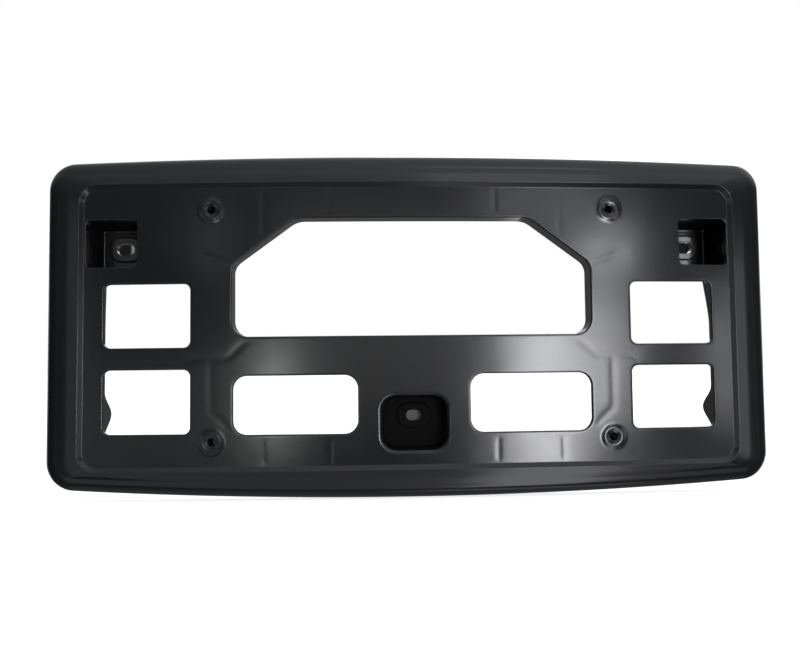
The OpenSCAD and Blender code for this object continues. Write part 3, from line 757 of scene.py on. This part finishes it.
def to_object(skin, name):
    """Mesh of a skin in metres, with its coinciding points joined and with normals that follow the
    larger faces, so that flats stay flat and only the rounded edges turn."""
    points = np.vstack(skin.points) * MM
    faces = np.vstack(skin.faces)
    mesh = bpy.data.meshes.new(name)
    mesh.from_pydata(points.tolist(), [], faces.tolist())
    work = bmesh.new()
    work.from_mesh(mesh)
    bmesh.ops.remove_doubles(work, verts=work.verts, dist=WELD * MM)
    bmesh.ops.dissolve_degenerate(work, edges=work.edges, dist=WELD * MM / 4)
    work.to_mesh(mesh)
    work.free()
    mesh.update()
    count = len(mesh.vertices)
    co = np.zeros(count * 3)
    mesh.vertices.foreach_get("co", co)
    co = co.reshape(-1, 3)
    corners = np.zeros(len(mesh.loops), np.int32)
    mesh.loops.foreach_get("vertex_index", corners)
    tri = corners.reshape(-1, 3)
    face_normal = np.cross(co[tri[:, 1]] - co[tri[:, 0]], co[tri[:, 2]] - co[tri[:, 0]])
    normal = np.zeros((count, 3))
    for k in range(3):
        np.add.at(normal, tri[:, k], face_normal)
    length = np.linalg.norm(normal, axis=1, keepdims=True)
    normal = normal / np.where(length > 0, length, 1)
    mesh.polygons.foreach_set("use_smooth", np.ones(len(mesh.polygons), bool))
    mesh.normals_split_custom_set_from_vertices(normal.tolist())
    obj = bpy.data.objects.new(name, mesh)
    bpy.context.scene.collection.objects.link(obj)
    return obj


class Value:
    """A shader value. Arithmetic on it adds Math nodes."""

    def __init__(self, recipe, socket):
        self.recipe, self.socket = recipe, socket

    def _math(self, operation, a, b):
        return self.recipe.node("ShaderNodeMath", {"operation": operation}, {0: a, 1: b})

    def __add__(self, other):
        return self._math("ADD", self, other)

    def __sub__(self, other):
        return self._math("SUBTRACT", self, other)

    def __mul__(self, other):
        return self._math("MULTIPLY", self, other)

    def __rsub__(self, other):
        return self._math("SUBTRACT", other, self)

    def __abs__(self):
        return self.recipe.node("ShaderNodeMath", {"operation": "ABSOLUTE"}, {0: self})

    __radd__ = __add__


class Recipe:
    """A material's or the world's node tree, filled node by node."""

    def __init__(self, owner):
        owner.use_nodes = True
        self.tree = owner.node_tree
        self.tree.nodes.clear()

    def node(self, kind, settings=None, sockets=None, out=0):
        """Adds a node, sets it up, and gives or links its sockets. Returns one of its outputs."""
        node = self.tree.nodes.new(kind)
        for name, value in (settings or {}).items():
            setattr(node, name, value)
        for name, value in (sockets or {}).items():
            if isinstance(value, Value):
                self.tree.links.new(value.socket, node.inputs[name])
            else:
                node.inputs[name].default_value = value
        return Value(self, node.outputs[out]) if len(node.outputs) else node

    def rise(self, value, start, end, first=0, last=1):
        """Goes softly from first to last while a value goes from start to end."""
        return self.node("ShaderNodeMapRange", {"interpolation_type": "SMOOTHSTEP"}, {
            "Value": value, "From Min": start, "From Max": end, "To Min": first, "To Max": last})


def pocket_shade_mask(r, place):
    """Mask of the painted shade in the bolt pockets: 1 inside them and 0 elsewhere, from the place in
    metres: a soft step across each pocket's mouth times a soft step down from the bent face. It ends
    above the upper pockets' pads, which are as smooth as the face."""
    x, y, z = (r.node("ShaderNodeSeparateXYZ", {}, {"Vector": place}, k) for k in range(3))
    depth = y - x * x * (0.5 / (BEND_R * MM)) + (SCREW_X * MM) ** 2 / (2 * BEND_R * MM)

    def within(value, size):
        reach = size / 2 + DULL_SHADE_MARGIN
        return r.rise(abs(value), (reach - DULL_SHADE_EDGE) * MM, reach * MM, 1, 0)

    def below(start, end):
        return r.rise(depth, start * MM, end * MM)

    upper = within(abs(x) - POCKET_X * MM, POCKET_W) * within(z - POCKET_Z * MM, POCKET_H)
    upper = upper * (1 - below(POCKET_D - DULL_SHADE_END[0], POCKET_D - DULL_SHADE_END[1]))
    centre = within(x, CENTRE_W) * within(z - CENTRE_Z * MM, CENTRE_H)
    return (upper + centre) * below(*DULL_SHADE_START)


def satin_black():
    """Satin black moulded plastic: nearly black with faint flow streaks, an even fine grain, a
    slight waviness of the mould and patches that are a little glossier. The pockets are rougher
    inside, where the mould wasn't polished, and darker with a weaker reflection there as painted
    shade."""
    material = bpy.data.materials.new("satin_black_plastic")
    r = Recipe(material)
    place = r.node("ShaderNodeTexCoord", out=3)
    streaks = r.node("ShaderNodeMapping", {}, {"Vector": place, "Scale": (9, 9, 26)})

    def noise(where, scale, detail, roughness):
        return r.node("ShaderNodeTexNoise", {}, {
            "Vector": where, "Scale": scale, "Detail": detail, "Roughness": roughness})

    flow = noise(streaks, 1.0, 3.0, 0.55)
    patch = noise(place, 55.0, 4.0, 0.6)
    grain = noise(place, 2600.0, 2.0, 0.6)
    wave = noise(place, 38.0, 1.0, 0.4)
    colour = r.node("ShaderNodeMix", {"data_type": "RGBA"},
                    {"Factor": flow, "A": (0.0065, 0.0070, 0.0080, 1), "B": (0.0100, 0.0105, 0.0115, 1)}, 2)
    height = grain * 0.07 + wave
    bump = r.node("ShaderNodeBump", {}, {"Height": height, "Strength": 0.5, "Distance": 0.00012})
    satin = r.node("ShaderNodeBsdfPrincipled", {}, {
        "Base Color": colour, "Roughness": 0.12 + flow * 0.04 + patch * 0.06, "Normal": bump, "IOR": 1.49})
    # Inside the pockets: rougher, and darker with a weak reflection as painted shade in the hollows.
    shaded_matte_pocket = r.node("ShaderNodeBsdfPrincipled", {}, {
        "Base Color": (0.004, 0.004, 0.0045, 1), "Roughness": 0.75, "Specular IOR Level": 0.08})
    both = r.node("ShaderNodeMixShader", {}, {"Fac": pocket_shade_mask(r, place), 1: satin, 2: shaded_matte_pocket})
    r.node("ShaderNodeOutputMaterial", {}, {"Surface": both})
    return material


def stage_sheets(name, rectangles, material):
    """Flat sheets of the stage, each given by its corners. Only the camera sees them, so they catch
    the holder's shadow and neither mirror in it nor hold light back."""
    mesh = bpy.data.meshes.new(name)
    corners = [corner for sheet in rectangles for corner in sheet]
    mesh.from_pydata(corners, [], [tuple(range(4 * k, 4 * k + 4)) for k in range(len(rectangles))])
    mesh.materials.append(material)
    obj = bpy.data.objects.new(name, mesh)
    obj.visible_diffuse = obj.visible_glossy = obj.visible_transmission = obj.visible_shadow = False
    bpy.context.scene.collection.objects.link(obj)
    obj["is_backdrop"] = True


def build_floor():
    """Wide pale floor under the holder, level with its lower edge. Most of its white is its own, so
    that it fades into the background, and the rest takes the shadow."""
    material = bpy.data.materials.new("pale_floor")
    r = Recipe(material)
    diffuse = r.node("ShaderNodeBsdfDiffuse", {}, {"Color": (0.6, 0.6, 0.6, 1)})
    glow = r.node("ShaderNodeEmission", {}, {"Color": (1, 1, 1, 1), "Strength": 0.8})
    both = r.node("ShaderNodeAddShader", {}, {0: diffuse, 1: glow})
    r.node("ShaderNodeOutputMaterial", {}, {"Surface": both})
    reach, level = FLOOR_REACH, low.z - FLOOR_GAP
    stage_sheets("floor", [[(-reach, -reach, level), (reach, -reach, level),
                            (reach, reach, level), (-reach, reach, level)]], material)


def build_backing():
    """Sheet of painted shade and light just behind the bolt slots, standing for the surface the holder
    lies against. It is dark grey as painted shade, palest at the inner ends of the outer slots as a
    painted patch of light, and part of its grey is its own light, a painted glow. It shows only where
    the holder shades it, so nothing of it is seen from behind."""
    material = bpy.data.materials.new("painted_shade_backing")
    r = Recipe(material)
    # The sheet is seen only where the holder shades it: a sheet of painted shade.
    openness = r.node("ShaderNodeAmbientOcclusion", {"samples": 8}, {"Distance": 0.04}, 1)
    clear = r.rise(openness, 0.6, 0.9)
    place = r.node("ShaderNodeTexCoord", out=3)
    x = r.node("ShaderNodeSeparateXYZ", {}, {"Vector": place}, 0)
    # Painted light and shade: darker behind the centre slot, and palest at the outer slots' inner ends.
    outer_slot_painted_light = r.node("ShaderNodeMapRange", {}, {
        "Value": abs(x), "From Min": 0.05, "From Max": 0.10, "To Min": 0.13, "To Max": 1})
    inner_end_painted_light = r.rise(abs(x), (POCKET_X - 3.5) * MM, (POCKET_X - 1) * MM, 1, 0)
    shade = r.node("ShaderNodeMix", {"data_type": "RGBA"}, {
        "Factor": outer_slot_painted_light * inner_end_painted_light, "A": (0.02, 0.02, 0.02, 1), "B": (0.8, 0.8, 0.8, 1)}, 2)
    lit = r.node("ShaderNodeBsdfDiffuse", {}, {"Color": shade})
    # Painted glow: part of the sheet's grey is given off as its own light.
    glow = r.node("ShaderNodeEmission", {}, {"Color": shade, "Strength": 0.18})
    pale = r.node("ShaderNodeAddShader", {}, {0: lit, 1: glow})
    away = r.node("ShaderNodeBsdfTransparent")
    mixed = r.node("ShaderNodeMixShader", {}, {"Fac": clear, 1: pale, 2: away})
    r.node("ShaderNodeOutputMaterial", {}, {"Surface": mixed})
    sheets = []
    for x, z, depth, w, h in ((-POCKET_X, POCKET_Z + BOLT_RISE, POCKET_D, *BOLT_PAD),
                              (POCKET_X, POCKET_Z + BOLT_RISE, POCKET_D, *BOLT_PAD),
                              (0, CENTRE_Z + CENTRE_RISE, CENTRE_D, *CENTRE_PAD)):
        y = float(bend(np.float64(x))) + depth + FLOOR_T + BACKING_GAP
        sheets.append([(px * MM, y * MM, pz * MM) for px, pz in (
            (x - w / 2, z - h / 2), (x + w / 2, z - h / 2), (x + w / 2, z + h / 2), (x - w / 2, z + h / 2))])
    stage_sheets("backing", sheets, material)


def build_world():
    """Soft studio: white where the camera looks past the holder. Its light is dim in front and at the
    left, where the face mirrors it, and paler above, below and behind."""
    world = bpy.data.worlds.new("studio")
    bpy.context.scene.world = world
    r = Recipe(world)
    seen = r.node("ShaderNodeLightPath")
    white = r.node("ShaderNodeBackground", {}, {"Color": (1, 1, 1, 1), "Strength": 1.0})
    way = r.node("ShaderNodeTexCoord", out=0)
    x, y, z = (r.node("ShaderNodeSeparateXYZ", {}, {"Vector": way}, k) for k in range(3))
    base = r.rise(x, -0.95, -0.7, 0.02, 0.07)
    above = r.rise(z, 0.15, 0.55, 0.0, 0.9) * r.rise(x, -0.7, 0.3, 0.35, 1.0)
    below = r.rise(z, -0.9, -0.75, 0.20, 0.0)
    behind = r.rise(y, 0.1, 0.8, 0.0, 0.10)
    level = base + above + below + behind
    studio = r.node("ShaderNodeBackground", {}, {"Color": (0.97, 0.98, 1, 1), "Strength": level})
    mixed = r.node("ShaderNodeMixShader", {}, {"Fac": seen, 1: studio, 2: white})
    r.node("ShaderNodeOutputWorld", {}, {"Surface": mixed})


def panel(name, azimuth, elevation, width, height, radiance, colour=(1, 1, 1)):
    """Flat soft light STUDIO_R away, unseen by the camera. Its place and size are angles in degrees,
    as seen from the origin: azimuth runs from straight in front to the right."""
    a, e = radians(azimuth), radians(elevation)
    away = Vector((sin(a) * cos(e), -cos(a) * cos(e), sin(e)))
    data = bpy.data.lights.new(name, "AREA")
    data.shape = "RECTANGLE"
    data.size = 2 * STUDIO_R * tan(radians(width) / 2)
    data.size_y = 2 * STUDIO_R * tan(radians(height) / 2)
    data.energy = radiance * pi * data.size * data.size_y
    data.color = colour
    obj = bpy.data.objects.new(name, data)
    obj.location = away * STUDIO_R
    obj.rotation_euler = (-away).to_track_quat("-Z", "Y").to_euler()
    obj.visible_camera = False
    bpy.context.scene.collection.objects.link(obj)


def build_lights():
    """Panels that the bent face mirrors: an upright band at the right with a dimmer top and side, a
    glow in the middle and a narrow band at the left. Others light the rim, the slope round the
    recess, the sides and the back."""
    cool, green = (0.95, 0.96, 1.0), (0.94, 1.0, 0.97)
    panel("band", 18.2, -2.5, 7, 15, 20.0, cool)
    panel("band_right", 24.8, 0.1, 4.5, 9.4, 13.0, cool)
    panel("band_spot", 25.3, 8.7, 5.5, 1.8, 23.0, cool)
    panel("band_top", 17.8, 13.2, 12, 4, 2.6, cool)
    panel("band_low", 20.5, -26, 14, 32, 2.8, cool)
    panel("band_side", 38, 0.2, 3.5, 9.5, 6.0, cool)
    panel("rim_glow", 48.5, -2, 5, 20, 2.0, cool)
    panel("middle_glow", 0, 5, 24, 17, 0.6)
    panel("left_band", -12.2, -2, 2.6, 8, 12.0, green)
    panel("left_glow", -22, -4, 20, 9, 0.4, green)
    panel("left_spot", -19, 10, 3, 5, 1.2)
    panel("left_far", -41, -3, 8, 30, 0.4, green)
    panel("rim_above", 17, 30, 20, 9, 0.9)
    panel("slope_top", 34, -62, 26, 12, 0.8)
    panel("slope_right", -36, -2, 4, 20, 0.9)
    panel("front_below", 0, -33, 80, 26, 0.4)
    panel("side_left", -122, -8, 16, 30, 0.6)
    panel("side_right", 122, -8, 16, 30, 0.8)
    panel("back_light", 160, 30, 34, 26, 3.0)
    panel("back_glow", 146, -17, 44, 14, 1.0)


def build_camera():
    """Camera at the photograph's viewing angle."""
    data = bpy.data.cameras.new("camera")
    data.sensor_width = 36.0
    data.lens = 35.325
    data.clip_start, data.clip_end = 0.01, 100
    obj = bpy.data.objects.new("camera", data)
    obj.location = (-0.0260, -0.4098, -0.0242)
    obj.rotation_euler = (radians(93.0746), radians(0.6220), radians(-2.6098))
    bpy.context.scene.collection.objects.link(obj)
    bpy.context.scene.camera = obj


build_camera()
holder = to_object(moulding(), "holder_moulding")
holder.data.materials.append(satin_black())
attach(holder, "root")
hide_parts(NODE)
build_floor()
build_backing()
build_world()
build_lights()
bpy.context.scene.view_settings.view_transform = "Standard"

as_lists = lambda box: [[float(v) for v in corner] for corner in box]
{"cad": as_lists(cad_box), "visual": as_lists(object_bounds())}
